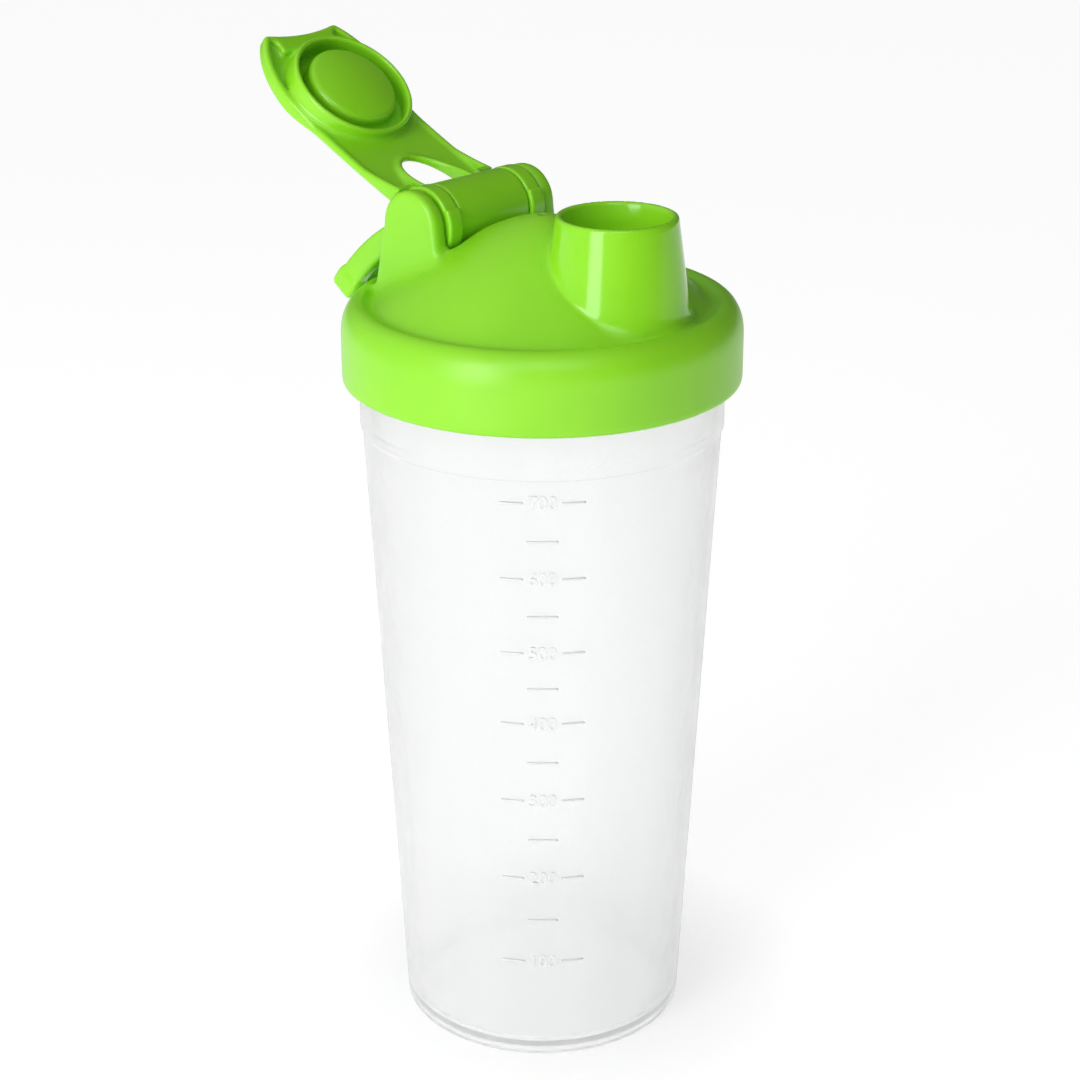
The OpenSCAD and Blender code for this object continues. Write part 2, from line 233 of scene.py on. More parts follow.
# Points along an outline at even steps, each then averaged with its
# neighbours by a bell curve of the given reach, which rounds every corner
def softened(points, reach, step=0.2, closed=True):
    points = np.asarray(points, float)
    if closed:
        points = np.vstack([points, points[:1]])
    length = np.r_[0, np.cumsum(np.hypot(*np.diff(points, axis=0).T))]
    count = int(length[-1] / step)
    at = np.linspace(0, length[-1], count + 1)
    even = np.stack([np.interp(at, length, points[:, i]) for i in (0, 1)], 1)
    if closed:
        even = even[:-1]
    half = max(1, int(3 * reach / step))
    bell = np.exp(-0.5 * (np.arange(-half, half + 1) * step / reach) ** 2)
    bell /= bell.sum()
    mode = "wrap" if closed else "edge"
    padded = np.pad(even, ((half, half), (0, 0)), mode=mode)
    if not closed:  # reflected about each end, so that the ends stay where they are
        padded[:half] = 2 * even[0] - even[half:0:-1]
        padded[-half:] = 2 * even[-1] - even[-2:-half - 2:-1]
    return np.stack([np.convolve(padded[:, i], bell, "valid") for i in (0, 1)], 1)


# Signed distance to a closed outline, less than 0 inside. It is the distance
# to the nearest edge, with its sign from how many edges a level line crosses,
# held in a fine table and read back between the table's points
def outlineDistance(outline, step=0.15, margin=5.0):
    starts = np.asarray(outline, float)
    ends = np.roll(starts, -1, axis=0)
    low = starts.min(0) - margin
    count = np.ceil((starts.max(0) + margin - low) / step).astype(int) + 1
    u, v = np.meshgrid(*[low[i] + step * np.arange(count[i]) for i in (0, 1)], indexing="ij")
    nearest = np.full(u.shape, 1e9)
    inside = np.zeros(u.shape, bool)
    for (su, sv), (eu, ev) in zip(starts, ends):
        du, dv = eu - su, ev - sv
        along = np.clip(((u - su) * du + (v - sv) * dv) / max(du * du + dv * dv, 1e-12), 0, 1)
        nearest = np.minimum(nearest, (u - su - along * du) ** 2 + (v - sv - along * dv) ** 2)
        if sv != ev:
            inside ^= ((sv > v) != (ev > v)) & (u < du * (v - sv) / dv + su)
    table = np.sqrt(nearest) * np.where(inside, -1, 1)

    def read(a, b):
        a, b = np.broadcast_arrays(a, b)
        i = np.clip((a - low[0]) / step, 0, count[0] - 1.001)
        j = np.clip((b - low[1]) / step, 0, count[1] - 1.001)
        ia, ja = i.astype(int), j.astype(int)
        i, j = i - ia, j - ja
        under = table[ia, ja] * (1 - i) + table[ia + 1, ja] * i
        over = table[ia, ja + 1] * (1 - i) + table[ia + 1, ja + 1] * i
        return under * (1 - j) + over * j

    return read


# The lower of two distances, with the inner corner rounded over about reach
def joined(a, b, reach):
    near = np.maximum(reach - np.abs(a - b), 0)
    return np.minimum(a, b) - near * near / (4 * reach)


# What both solids share, with the outer corner rounded over about reach
def shared(a, b, reach):
    return -joined(-a, -b, reach)


# The first solid less the second, with the outer corner rounded
def cutAway(a, b, reach):
    return shared(a, -b, reach)


# The skin of a solid given as a distance field. Each grid cell that the skin
# passes through gets one corner, at the mean of where the skin crosses the
# cell's edges; four cells round a crossed edge make a face; and each corner is
# then slid down the field's slope until the field is 0 there
def skinOf(field, low, high, cell):
    low, high = np.asarray(low, float), np.asarray(high, float)
    count = np.ceil((high - low) / cell).astype(int) + 1
    ticks = [low[i] + cell * np.arange(count[i]) for i in range(3)]
    grid = np.meshgrid(*ticks, indexing="ij", sparse=True)
    value = np.broadcast_to(field(*grid), count).astype(np.float32)
    cells = count - 1
    total = np.zeros((*cells, 3), np.float32)
    crossings = np.zeros(cells, np.float32)
    crossed = []
    for a in range(3):
        b, c = (a + 1) % 3, (a + 2) % 3
        first = np.moveaxis(value, (a, b, c), (0, 1, 2))[:-1]
        second = np.moveaxis(value, (a, b, c), (0, 1, 2))[1:]
        cross = (first < 0) != (second < 0)
        share = np.where(cross, first / np.where(cross, first - second, 1), 0)
        crossed.append((cross, first < 0))
        sums = np.moveaxis(total, (a, b, c), (0, 1, 2))
        tally = np.moveaxis(crossings, (a, b, c), (0, 1, 2))
        for ob in (0, 1):
            for oc in (0, 1):
                part = (slice(None), slice(ob, ob + cells[b]), slice(oc, oc + cells[c]))
                sums[..., a] += share[part]
                sums[..., b] += ob * cross[part]
                sums[..., c] += oc * cross[part]
                tally += cross[part]
    active = crossings > 0
    number = np.full(cells, -1)
    number[active] = np.arange(active.sum())
    corners = low + cell * (np.argwhere(active) + total[active] / crossings[active][:, None])
    faces = []
    for a, (cross, startsInside) in enumerate(crossed):
        b, c = (a + 1) % 3, (a + 2) % 3
        numbers = np.moveaxis(number, (a, b, c), (0, 1, 2))
        i, j, k = np.nonzero(cross[:, 1:-1, 1:-1])
        j, k = j + 1, k + 1
        around = [numbers[i, j - 1, k - 1], numbers[i, j, k - 1], numbers[i, j, k], numbers[i, j - 1, k]]
        quad = np.stack(around, 1)
        outward = startsInside[i, j, k]
        faces.append(np.where(outward[:, None], quad, quad[:, ::-1]))
    for _ in range(4):
        here, slope = field(*corners.T), slopeOf(field, corners)
        move = -(here / np.maximum((slope**2).sum(1), 0.04))[:, None] * slope
        length = np.linalg.norm(move, axis=1, keepdims=True)
        corners = corners + move * np.minimum(1, 0.4 * cell / np.maximum(length, 1e-9))
    return corners, np.vstack(faces)


# How fast a field changes along x, y and z, from its values a little either side
def slopeOf(field, places, reach=0.06):
    columns = []
    for i in range(3):
        shift = np.zeros(3)
        shift[i] = reach
        columns.append((field(*(places + shift).T) - field(*(places - shift).T)) / (2 * reach))
    return np.stack(columns, 1)


# Each outline point (r, z) is carried round the upright axis:
# x = r cos(turn), y = r sin(turn). A point with r of 0 becomes one pole
def turned(outline, sides=180):
    outline = np.asarray(outline, float)
    turn = 2 * np.pi * np.arange(sides) / sides
    poles = outline[:, 0] < 1e-6
    ring = outline[~poles]
    corners = np.stack(
        [ring[:, :1] * np.cos(turn), ring[:, :1] * np.sin(turn), np.repeat(ring[:, 1:], sides, 1)], 2
    ).reshape(-1, 3)
    here, after = np.arange(sides), (np.arange(sides) + 1) % sides
    rows = len(ring)
    steps = range(rows - 1) if poles.any() else range(rows)
    faces = []
    for row in steps:
        low, high = row * sides, (row + 1) % rows * sides
        faces += np.stack([low + here, low + after, high + after, high + here], 1).tolist()
    if poles.any():
        first, last = len(corners), len(corners) + 1
        corners = np.vstack([corners, [[0, 0, outline[0, 1]], [0, 0, outline[-1, 1]]]])
        faces += np.stack([np.full(sides, first), after, here], 1).tolist()
        low = (rows - 1) * sides
        faces += np.stack([np.full(sides, last), low + here, low + after], 1).tolist()
    return corners, faces


# Points on an arc about a centre, from one angle to another in degrees
def arc(centre, radius, start, end, steps=12):
    angle = np.radians(np.linspace(start, end, steps + 1))
    return np.stack([centre[0] + radius * np.cos(angle), centre[1] + radius * np.sin(angle)], 1)


cupSizes = {
    "baseRadius": 36.2,
    "footRadius": 1.4,
    "recess": 0.9,
    "stepZ": 161.0,
    "neckRadius": 44.9,
    "step": 0.6,
    "height": 187.0,
    "wall": 1.8,
    "floor": 2.5,
    "cornerRadius": 3.5,
}


# Outside radius of the cup's tapered wall at height z
def wallRadius(z):
    size = cupSizes
    top = size["neckRadius"] - size["step"]
    share = (z - size["footRadius"]) / (size["stepZ"] - size["step"] - size["footRadius"])
    return size["baseRadius"] + (top - size["baseRadius"]) * share


def cupOutline():
    s = cupSizes
    foot, corner = s["footRadius"], s["cornerRadius"]
    inner = s["baseRadius"] - s["wall"]
    neckIn = s["neckRadius"] - s["wall"]
    parts = [
        [[0, s["recess"]], [s["baseRadius"] - 4.6, s["recess"]], [s["baseRadius"] - 3.6, 0]],
        arc((s["baseRadius"] - foot, foot), foot, -90, 0),
        [[wallRadius(s["stepZ"] - s["step"]), s["stepZ"] - s["step"]], [s["neckRadius"], s["stepZ"]]],
        [[s["neckRadius"], s["height"] - 0.5], [s["neckRadius"] - 0.5, s["height"]]],
        [[neckIn + 0.5, s["height"]], [neckIn, s["height"] - 0.5]],
        [[neckIn, s["stepZ"] + 2.4], [neckIn - s["step"], s["stepZ"] - s["step"]]],
        arc((inner - corner, s["floor"] + corner), corner, 0, -90),
        [[0, s["floor"]]],
    ]
    return np.vstack(parts)


# Every few points of a fine outline, keeping more where it bends
def thinned(points, bend=4.0, longest=6.0):
    kept, turnSum, run = [0], 0.0, 0.0
    step = np.diff(points, axis=0)
    heading = np.unwrap(np.arctan2(step[:, 1], step[:, 0]))
    for i in range(1, len(points) - 1):
        turnSum += abs(np.degrees(heading[i] - heading[i - 1]))
        run += np.hypot(*step[i - 1])
        if turnSum >= bend or run >= longest:
            kept.append(i)
            turnSum, run = 0.0, 0.0
    return points[kept + [len(points) - 1]]


# A raised screw rib: a rounded hump carried along a rising helix, sinking into
# the wall at both ends. way is 1 for a rib outside a wall and -1 for one inside
def screwRib(radius, way, startZ, lead=4.5, turns=1.2, depth=1.2):
    count = int(turns * 120)
    step = np.arange(count + 1)
    fade = np.clip(np.minimum(step, count - step) / 14, 0, 1)[:, None]
    fade = fade * fade * (3 - 2 * fade)
    upper = np.array([[1, 0.3], [0.85, 0.6], [0.25, 0.85], [-0.5, 0.95]])
    section = np.vstack([(upper * [1, -1])[::-1], upper])
    if way < 0:
        section = section[::-1]
    out = radius + way * (depth * section[:, 0] * fade - 0.45 * (1 - fade))
    turn = 2 * np.pi * step[:, None] / 120
    rise = startZ + lead * turn / (2 * np.pi) + section[:, 1]
    corners = np.stack([out * np.cos(turn), out * np.sin(turn), rise], 2).reshape(-1, 3)
    side = np.arange(8)
    faces = [
        np.stack([8 * i + side, 8 * i + (side + 1) % 8, 8 * i + 8 + (side + 1) % 8, 8 * i + 8 + side], 1)
        for i in range(count)
    ]
    faces = np.vstack(faces)[:, ::-1].tolist()
    return corners, faces + [list(range(8)), list(range(8 * count + 7, 8 * count - 1, -1))]


frosted = frostedPlastic("frosted_clear", frostLook)
corners, faces = turned(thinned(softened(cupOutline(), 0.22, 0.08, closed=False), 5.0))
ribCorners, ribFaces = screwRib(44.9, 1, 176.2)
faces = faces + [[i + len(corners) for i in face] for face in ribFaces]
makePiece("cup_wall", np.vstack([corners, ribCorners]), faces, frosted, "cup", "cup", ["cup"])

lidSizes = {
    "rimZ": 172.4,
    "innerRadius": 46.4,
    "outerRadius": 49.0,
    "seatZ": 188.6,
    "shoulderZ": 184.6,
    "shoulderWidth": 5.2,
    "crestZ": 192.3,
    "valleyRadius": 41.2,
    "valleyZ": 190.7,
    "domeHeight": 21.9,
    "domePower": 1.5,
    "shell": 2.4,
    "plugOuter": 41.4,
    "plugInner": 39.8,
    "plugZ": 181.6,
    "spoutY": 23.9,
    "spoutRadius": 14.4,
    "spoutTop": 216.4,
    "spoutFlare": 3.6,
    "spoutFoot": (0.7, 2.8),  # rounding at the spout's foot, and how much more at its front
    "bore": 12.3,
    "mouth": 12.95,
    "seatDepth": 4.0,
    "trough": 10.5,
    "troughWall": 1.9,
    "earInner": 16.9,
    "earThickness": 4.6,
    "earRadius": 8.9,
    "earLean": 4.4,  # how far the ear's foot spreads
    "earDrop": 17.2,
    "earFoot": 3.0,
    "earEdge": 2.0,
    "pin": 3.0,
    "cell": 0.68,
}


# Height of the dome at radius r: flat in the middle, steeper outwards
def domeHeightAt(r, size):
    top = size["valleyZ"] + size["domeHeight"]
    return top - size["domeHeight"] * (np.abs(r) / size["valleyRadius"]) ** size["domePower"]


def lidField():
    s = lidSizes
    past = 6  # the outlines run this far past the axis, so that no edge lies on it
    shoulder = np.radians(np.linspace(0, 90, 16))
    crest = s["outerRadius"] - s["shoulderWidth"]
    shoulderR = crest + s["shoulderWidth"] * np.cos(shoulder)
    shoulderZ = s["shoulderZ"] + (s["crestZ"] - s["shoulderZ"]) * np.sin(shoulder)
    shoulderArc = np.stack([shoulderR, shoulderZ], 1)
    across = np.linspace(s["valleyRadius"] - 0.4, -past, 60)
    dome = np.stack([across, domeHeightAt(across, s)], 1)
    rim = [[-past, s["rimZ"]], [s["outerRadius"], s["rimZ"]]]
    valley = [[s["valleyRadius"] + 0.9, s["valleyZ"] + 0.15]]
    outside = outlineDistance(softened(np.vstack([rim, shoulderArc, valley, dome]), 0.75))
    across = np.linspace(s["plugInner"], -past, 60)
    under = np.stack([across, domeHeightAt(across, s) - s["shell"]], 1)
    cavityOutline = np.vstack(
        [
            [[-past, s["rimZ"] - 4], [s["innerRadius"], s["rimZ"] - 4], [s["innerRadius"], s["seatZ"]]],
            [[s["plugOuter"], s["seatZ"]], [s["plugOuter"], s["plugZ"]], [s["plugInner"], s["plugZ"]]],
            under,
        ]
    )
    cavity = outlineDistance(softened(cavityOutline, 0.35))
    top, foot = s["spoutTop"], s["valleyZ"] - 0.4
    start = 184  # well inside the lid
    wide = s["spoutRadius"] + s["spoutFlare"] * (top - start) / (top - foot)
    spoutOutline = [[-past, start], [wide, start], [s["spoutRadius"], top], [-past, top]]
    spout = outlineDistance(softened(spoutOutline, 0.5))
    low = top - s["seatDepth"]
    start, end = start - 2, top + 4
    inside = [[-past, start], [s["bore"], start], [s["bore"], low]]
    mouth = [[s["mouth"], top], [s["mouth"] + 0.15, end], [-past, end]]
    bore = outlineDistance(softened(inside + mouth, 0.25))
    lean, drop = s["earLean"], s["earDrop"] + 3
    earFoot = [[-s["earRadius"] - 0.6 * lean, -drop], [s["earRadius"] + lean, -drop]]
    ear = outlineDistance(softened(np.vstack([arc((0, 0), s["earRadius"], 0, 180, 40), earFoot]), 0.5))
    middle = s["earInner"] + s["earThickness"] / 2

    def field(x, y, z):
        radius = np.sqrt(x * x + y * y)
        aboutSpout = np.sqrt(x * x + (y + s["spoutY"]) ** 2)
        hinge = np.sqrt((y - axisY) ** 2 + (z - axisZ) ** 2)
        foot = s["spoutFoot"][0] + s["spoutFoot"][1] * np.clip((-y - 30) / 10, 0, 1)
        solid = joined(outside(radius, z), spout(aboutSpout, z), foot)
        earSlab = np.abs(np.abs(x) - middle) - s["earThickness"] / 2
        solid = joined(solid, shared(ear(y - axisY, z - axisZ), earSlab, s["earEdge"]), s["earFoot"])
        beside = np.abs(x) - s["earInner"]
        troughWall = shared(hinge - s["trough"] - s["troughWall"], beside - s["troughWall"], 1.0)
        room = cutAway(cavity(radius, z), troughWall, 0.8)
        solid = cutAway(solid, room, 1.0)
        solid = cutAway(solid, shared(hinge - s["trough"], beside, 0.4), 0.7)
        solid = cutAway(solid, bore(aboutSpout, z), 0.8)
        hole = shared(hinge - s["pin"], np.abs(x - 2.2) - s["earInner"] - 5.0, 0.1)
        return cutAway(solid, hole, 0.3)

    return field


limeLid = mouldedPlastic(
    "lime_lid",
    limeLook,
    gate={"place": (0, 0, 0.2126), "radius": 0.0013, "depth": 0.0004},
    polish={"place": (0, -0.0239, 0), "reach": (0.0175, 0.019), "roughness": 0.14},
)
corners, faces = skinOf(lidField(), (-49.6, -49.6, 171.8), (49.6, 49.6, 218.4), lidSizes["cell"])
makePiece("lid_shell", corners, faces, limeLid, "lid", "lid", ["lid"])
corners, faces = screwRib(46.4, -1, 174.55)
makePiece("lid_thread", corners, faces, limeLid, "lid", "lid")

capSizes = {
    "openAngle": 40,
    "armLength": 70.5,
    "top": 14.0,
    "plate": 1.8,
    "lip": 1.8,
    "lipDepth": 3.9,
    "drum": 9.0,
    "drumHalf": 11.8,
    "bore": 3.06,
    "trayHalf": 18.43,
    "trayS": 52.1,
    "ringS": 48.1,
    "ringInner": 15.03,
    "ringOuter": 16.33,
    "ringEdge": 5.5,
    "ringFoot": 1.6,
    "plug": 11.95,
    "plugEdge": 6.0,
    "plugCrown": 1.8,
    "legStart": 10.5,
    "legEnd": 36.0,
    "legHalf": 16.6,
    "legWidth": 9.2,
    "gapLength": 23.0,
    "ridge": 1.5,  # wall left standing along the gap
    "backRise": 9.2,
    "backRange": (12.0, 50.0),
    "edgeLow": 0.2,
    "edgeEnd": 38.0,
    "leastLip": 0.4,
    "tipHollow": 46.0,
    "thumbHalf": 9.6,
    "thumbDepth": 6.2,
    "cell": 0.46,
}


# Half width of the arm at distance s from the hinge line: narrow between the
# collars, then straight legs that swell along half a cosine to the tray, which
# ends in an oval
def armHalfWidth(s):
    c = capSizes
    swell = (1 - np.cos(np.pi * np.clip((s - c["legEnd"]) / (c["trayS"] - c["legEnd"]), 0, 1))) / 2
    oval = np.sqrt(np.maximum(0, 1 - (np.maximum(s - c["trayS"], 0) / (c["trayHalf"] * 24 / 18.4)) ** 2))
    half = c["legHalf"] + (c["trayHalf"] - c["legHalf"]) * swell
    return np.where(s <= c["trayS"], half, c["trayHalf"] * oval)


# Height of the arm's back: it climbs from the hinge and levels out at the tray
def backHeight(s):
    c = capSizes
    start, end = c["backRange"]
    return c["top"] - c["backRise"] * (np.maximum(0, end - s) / (end - start)) ** 1.22


# Underside of the arm's edge wall, always a little below the plate
def edgeHeight(s):
    c = capSizes
    low = c["top"] - c["lipDepth"]
    share = np.maximum(0, c["edgeEnd"] - s) / (c["edgeEnd"] - c["backRange"][0])
    fall = (low - c["edgeLow"]) * share**1.5
    return np.minimum(low - fall, backHeight(s) - c["plate"] - c["leastLip"])


# The gap between the legs: straight near the hinge, then half an oval
def gapOutline(wider):
    c = capSizes
    half, start = c["legHalf"] - c["legWidth"] + wider, c["legStart"]
    angle = np.radians(np.linspace(90, -90, 50))
    oval = np.stack([start + (c["gapLength"] + wider - start) * np.cos(angle), half * np.sin(angle)], 1)
    return np.vstack([[[-3, half]], oval, [[-3, -half]]])


def capField():
    c = capSizes
    s = np.linspace(c["legStart"], c["armLength"], 90)
    half = armHalfWidth(s)
    side = np.vstack([[[0, c["drumHalf"]], [c["legStart"], c["drumHalf"]]], np.stack([s, half], 1)])
    hollow = c["armLength"] - 1.3
    across = np.linspace(half[-1], -half[-1], 24)
    tipS = hollow + c["tipHollow"] - np.sqrt(c["tipHollow"] ** 2 - across**2)
    tip = np.stack([np.minimum(tipS, c["armLength"]), across], 1)
    plan = outlineDistance(softened(np.vstack([side[:-1], tip, (side * [1, -1])[::-1][1:]]), 0.45))
    first, end = c["legStart"] - 3, c["armLength"] + 6
    along = np.linspace(first, c["backRange"][1], 60)
    back = np.stack([along, backHeight(along)], 1)
    home = np.linspace(c["edgeEnd"] + 4, first, 50)
    edge = np.stack([home, edgeHeight(home)], 1)
    tipEdge = [[end, c["top"]], [end, c["top"] - c["lipDepth"]]]
    sideShape = outlineDistance(softened(np.vstack([back, tipEdge, edge]), 0.4))
    along = np.linspace(-4, c["backRange"][1], 70)
    floorLine = np.stack([along, backHeight(along) - c["plate"]], 1)
    floorLine = np.vstack([[[-4, -22]], floorLine, [[end, c["top"] - c["plate"]], [end, -22]]])
    belowPlate = outlineDistance(softened(floorLine, 0.3))
    gap, ridge = (outlineDistance(softened(gapOutline(wider), 0.7)) for wider in (0, c["ridge"]))
    crownRadius = (c["plug"] ** 2 + c["plugCrown"] ** 2) / (2 * c["plugCrown"])

    def field(x, s, u):
        flat = plan(s, x)
        arm = shared(flat, sideShape(s, u), 1.1)
        under = belowPlate(s, u)
        thumb = shared(np.abs(x) - c["thumbHalf"], c["armLength"] - c["thumbDepth"] - s, 1.2)
        room = shared(flat + c["lip"], under, 1.2)
        room = cutAway(room, thumb, 1.6)
        room = cutAway(room, ridge(s, x), 1.4)
        arm = cutAway(arm, room, 0.9)
        rim = np.sqrt(x * x + (s - c["ringS"]) ** 2)
        arm = cutAway(arm, gap(s, x), 1.1)
        drum = shared(np.sqrt(s * s + u * u) - c["drum"], np.abs(x) - c["drumHalf"], 0.5)
        solid = joined(arm, drum, 0.8)
        ring = shared(rim - c["ringOuter"] - 0.05 * (u - c["ringEdge"]), c["ringEdge"] - u, 1.1)
        ring = shared(ring, under - 0.8, 0.2)
        solid = joined(solid, ring, c["ringFoot"])
        pit = shared(rim - c["ringInner"], under, 0.8)
        solid = cutAway(solid, pit, 1.0)
        crown = np.sqrt(rim**2 + (u - c["plugEdge"] + c["plugCrown"] - crownRadius) ** 2) - crownRadius
        plug = shared(shared(rim - c["plug"], crown, 1.4), under - 0.8, 0.2)
        solid = joined(solid, plug, 1.2)
        return cutAway(solid, np.sqrt(s * s + u * u) - c["bore"], 0.5)

    return field


# From the closed cap's own directions (x, s, u) to its open place: turned
# about the hinge line, with s pointing back and up
def openPlace(corners, faces):
    c = capSizes
    angle = math.radians(c["openAngle"] - 180)
    x, y, z = corners[:, 0], -corners[:, 1], corners[:, 2]
    y, z = y * math.cos(angle) - z * math.sin(angle), y * math.sin(angle) + z * math.cos(angle)
    # s runs against y, so the faces turn over
    return np.stack([x, y + axisY, z + axisZ], 1), faces[:, ::-1]


limeCap = mouldedPlastic("lime_cap", capLook)
corners, faces = skinOf(capField(), (-19.4, -9.8, -9.8), (19.4, 71.4, 14.8), capSizes["cell"])
makePiece("flip_cap_body", *openPlace(corners, faces), limeCap, "flip_cap", "flip_cap", ["flip_cap"])

loopSizes = {
    "collar": 9.2,
    "collarStart": 12.1,
    "collarEnd": 16.6,
    "lobe": 0.7,
    "bore": 3.06,
    "archRadius": 60.0,
    "width": 6.4,
    "startAt": 5.4,
    "reach": 38.0,
    "bar": 4.6,
    "angle": 18,
    "round": 1.5,
    "cell": 0.42,
}


def loopField():
    p = loopSizes
    lean = math.radians(-p["angle"])
    centreY, centreZ = p["archRadius"] * math.sin(lean), -p["archRadius"] * math.cos(lean)

    def field(x, y, z):
        hinge = np.sqrt(y * y + z * z)
        around = np.degrees(np.arctan2(z, y))
        lobe = np.clip(1 - np.abs((around + 360) % 360 - 200) / 50.5, -1, 1)
        step = p["lobe"] * np.clip(lobe * 40, 0, 1)
        middle, thick = (p["collarStart"] + p["collarEnd"]) / 2, p["collarEnd"] - p["collarStart"]
        beside = np.abs(np.abs(x) - middle) - thick / 2
        collar = shared(hinge - p["collar"] - step, beside, 0.7)
        radial = np.sqrt((y - centreY) ** 2 + (z - centreZ) ** 2)
        along = p["archRadius"] * (np.arctan2(y - centreY, z - centreZ) + lean)
        band = np.abs(radial - p["archRadius"]) - p["width"] / 2
        ends = np.abs(along - (p["startAt"] + p["reach"]) / 2) - (p["reach"] - p["startAt"]) / 2
        strap = shared(shared(band, beside + 0.15, p["round"]), ends, p["round"])
        barLength = np.abs(along - p["reach"] + p["bar"] / 2) - p["bar"] / 2
        bar = shared(barLength, np.abs(x) - p["collarEnd"] + 0.15, p["round"])
        bar = shared(bar, band, p["round"])
        solid = joined(joined(strap, bar, 2.0), collar, 1.0)
        return cutAway(solid, hinge - p["bore"], 0.4)

    return field


limeLoop = mouldedPlastic("lime_loop", loopLook)
corners, faces = skinOf(loopField(), (-17.2, -10.6, -32.0), (17.2, 44.0, 10.6), loopSizes["cell"])
corners = corners + [0, axisY, axisZ]
makePiece("carry_loop_body", corners, faces, limeLoop, "carry_loop", "carry_loop", ["carry_loop"])

markSizes = {
    "turn": -137.0,  # which way the scale faces, in degrees
    "raise": 0.3,
    "line": 0.45,
    "digits": 4.7,
    "gap": 4.6,
    "side": 5.6,
    "middle": 7.5,
    "levels": {700: 155.0, 600: 135.5, 500: 116.0, 400: 96.9, 300: 75.5, 200: 53.3, 100: 28.8},
}


# Wraps a flat drawing round the tapered wall: across becomes an angle of
# across / radius, up stays height, and depth is added to the wall's radius
def onWall(flat):
    across, up, depth = flat.T
    radius = wallRadius(up)
    turn = math.radians(markSizes["turn"]) + across / radius
    return np.stack([(radius + depth) * np.cos(turn), (radius + depth) * np.sin(turn), up], 1)


# A raised bar as a box cut into short lengths, so that it can bend round
def markBar(left, right, level):
    high = markSizes["line"] / 2
    count = 12
    across = np.linspace(left, right, count + 1)
    outer = markSizes["raise"]
    section = np.array([[-high, -0.4], [high, -0.4], [high * 0.7, outer], [-high * 0.7, outer]])
    up, depth = np.tile(section, (count + 1, 1)).T
    corners = np.stack([np.repeat(across, 4), up + level, depth], 1)
    side = np.arange(4)
    faces = [
        np.stack([4 * i + side, 4 * i + (side + 1) % 4, 4 * i + 4 + (side + 1) % 4, 4 * i + 4 + side], 1)
        for i in range(count)
    ]
    return corners, np.vstack(faces).tolist() + [[3, 2, 1, 0], [4 * count + i for i in range(4)]]


# The digits of a number as a flat raised mesh, in millimetres
def markNumber(number, level):
    text = bpy.data.curves.new("number", "FONT")
    text.body, text.align_x, text.align_y = str(number), "CENTER", "CENTER"
    text.size, text.extrude = markSizes["digits"], 0.35
    holder = bpy.data.objects.new("number", text)
    bpy.context.scene.collection.objects.link(holder)
    bpy.context.view_layer.update()
    ready = holder.evaluated_get(bpy.context.evaluated_depsgraph_get())
    mesh = bpy.data.meshes.new_from_object(ready)
    flat = np.zeros(len(mesh.vertices) * 3)
    mesh.vertices.foreach_get("co", flat)
    faces = [list(polygon.vertices) for polygon in mesh.polygons]
    bpy.data.objects.remove(holder)
    bpy.data.meshes.remove(mesh)
    return flat.reshape(-1, 3) + [0, level, -0.05], faces


marks, markFaces, bars = [], [], []
near, far = markSizes["gap"], markSizes["gap"] + markSizes["side"]
for level in markSizes["levels"].values():
    bars += [(-far, -near, level), (near, far, level)]
heights = sorted(markSizes["levels"].values())
for lower, upper in zip(heights[:-1], heights[1:]):
    bars.append((-markSizes["middle"] / 2, markSizes["middle"] / 2, (lower + upper) / 2))
drawings = [markBar(*bar) for bar in bars] + [markNumber(n, z) for n, z in markSizes["levels"].items()]
offset = 0
for flat, flatFaces in drawings:
    marks.append(onWall(flat))
    markFaces += [[i + offset for i in face] for face in flatFaces]
    offset += len(flat)
markPlastic = frostedPlastic("frosted_marks", markLook)
makePiece("cup_scale", np.vstack(marks), markFaces, markPlastic, "cup", "cup")

for node, material in (
    ("lid_seal", frostedPlastic("silicone", siliconeLook)),
    ("strainer", frostedPlastic("natural_plastic", strainerLook)),
    ("hinge_pin", mouldedPlastic("lime_pin", pinLook)),
):
    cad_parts[node].data.materials.clear()
    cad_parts[node].data.materials.append(material)
print("materials on the carried nodes")

studio = {
    "roomLow": 0.09,  # light from the dark side of the room
    "roomMore": 0.62,  # what the window side adds
    "roomToward": (-0.75, 0.35, 0.55),
    "floor": (0.40, 0.40, 0.403, 1),
    "floorGlow": 0.80,
    "paintedShade": 0.80,  # how dark the painted shadow ring round the base is, added to the faint shadow the cup really casts
    "paintedShadeReach": (0.036, 0.078),
    "keyPower": 9.0,
    "keySize": (0.5, 1.1),
    "keyPlace": (-1.15, -0.12, 0.5),
    "fillPower": 2.2,
    "fillSize": (0.6, 0.6),
    "fillPlace": (-0.55, -0.6, 1.0),
    "cameraPlace": (-0.41976, -0.39148, 0.35664),
    "cameraTurn": (68.3281, 0.0623, -46.9602),
    "lens": 81.667,
}


# A pale sweep that is lit from below as well, so that shadows on it stay faint. Its glow is dimmed in a
# soft ring round the base: a painted shadow, added to the faint shadow really cast there
def floorMaterial():
    material, start = newMaterial("pale_floor")
    place = start.node("ShaderNodeTexCoord", out="Object")
    grain = place.cloud(220, 3)
    dark = tuple(c * 0.985 for c in studio["floor"][:3]) + (1,)
    colour = grain.ramp(0.3, 0.7).tint(dark, studio["floor"])
    # painted shadow: the floor's glow is dimmed within a short distance of the base
    away = place.vector("LENGTH", (0.0, 0.0, 0.0), "Value")
    paintedShade = studio["paintedShade"]
    sockets = {
        "Base Color": colour,
        "Roughness": 0.6 + 0.1 * grain,
        "Specular IOR Level": 0.1,
        "Emission Color": away.ramp(*studio["paintedShadeReach"]).tint((paintedShade, paintedShade, paintedShade, 1), (1, 1, 1, 1)),
        "Emission Strength": studio["floorGlow"],
    }
    shader = start.node("ShaderNodeBsdfPrincipled", {}, sockets)
    start.node("ShaderNodeOutputMaterial", {}, {"Surface": shader})
    return material


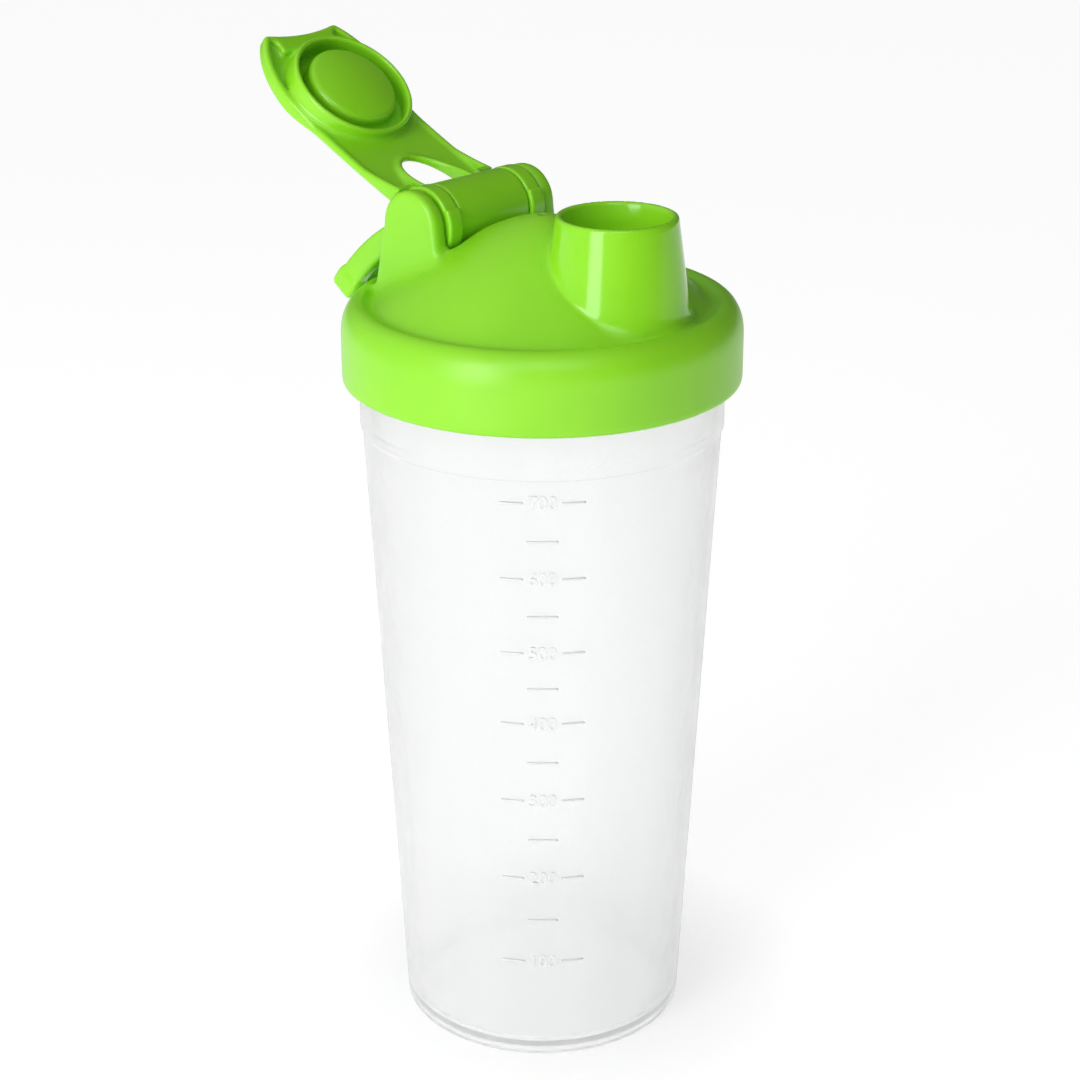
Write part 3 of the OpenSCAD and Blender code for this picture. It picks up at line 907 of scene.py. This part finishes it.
# The room: white to the eye and through clear plastic, and for light and
# reflections a soft glow that is brighter towards the window
def roomLight(world):
    tree = world.node_tree
    tree.nodes.clear()
    start = Signal(tree)
    place = start.node("ShaderNodeTexCoord", out="Generated")
    length = sum(c * c for c in studio["roomToward"]) ** 0.5
    toward = tuple(c / length for c in studio["roomToward"])
    facing = place.vector("DOT_PRODUCT", toward, "Value")
    glow = studio["roomLow"] + studio["roomMore"] * facing.ramp(0, 1)
    eye = start.node("ShaderNodeLightPath", out="Is Camera Ray")
    through = start.node("ShaderNodeLightPath", out="Is Transmission Ray")
    white = eye.sum("MAXIMUM", eye, through)
    strength = glow + white * (1.0 + glow * -1.0)
    back = start.node("ShaderNodeBackground", {}, {"Color": (1, 1, 1, 1), "Strength": strength})
    start.node("ShaderNodeOutputWorld", {}, {"Surface": back})


def buildStudio():
    half = 3.0
    mesh = bpy.data.meshes.new("floor")
    corners = [(-half, -half, 0), (half, -half, 0), (half, half, 0), (-half, half, 0)]
    mesh.from_pydata(corners, [], [(0, 1, 2, 3)])
    mesh.materials.append(floorMaterial())
    floor = bpy.data.objects.new("floor", mesh)
    floor.location = (0, 0, -0.00002)
    bpy.context.scene.collection.objects.link(floor)
    world = bpy.data.worlds.new("studio")
    world.use_nodes = True
    roomLight(world)
    bpy.context.scene.world = world
    for name in ("key", "fill"):
        lamp = bpy.data.lights.new(name, "AREA")
        lamp.energy, lamp.shape = studio[name + "Power"], "RECTANGLE"
        lamp.size, lamp.size_y = studio[name + "Size"]
        light = bpy.data.objects.new(name, lamp)
        light.location = studio[name + "Place"]
        aim = Vector((0, 0, 0.15)) - light.location
        light.rotation_euler = aim.to_track_quat("-Z", "Y").to_euler()
        bpy.context.scene.collection.objects.link(light)
    lens = bpy.data.cameras.new("camera")
    lens.lens, lens.sensor_width = studio["lens"], 36
    lens.clip_start, lens.clip_end = 0.05, 20
    camera = bpy.data.objects.new("camera", lens)
    camera.location = studio["cameraPlace"]
    camera.rotation_euler = [math.radians(a) for a in studio["cameraTurn"]]
    bpy.context.scene.collection.objects.link(camera)
    bpy.context.scene.camera = camera
    bpy.context.scene.view_settings.view_transform = "Standard"


buildStudio()
print("studio ready")
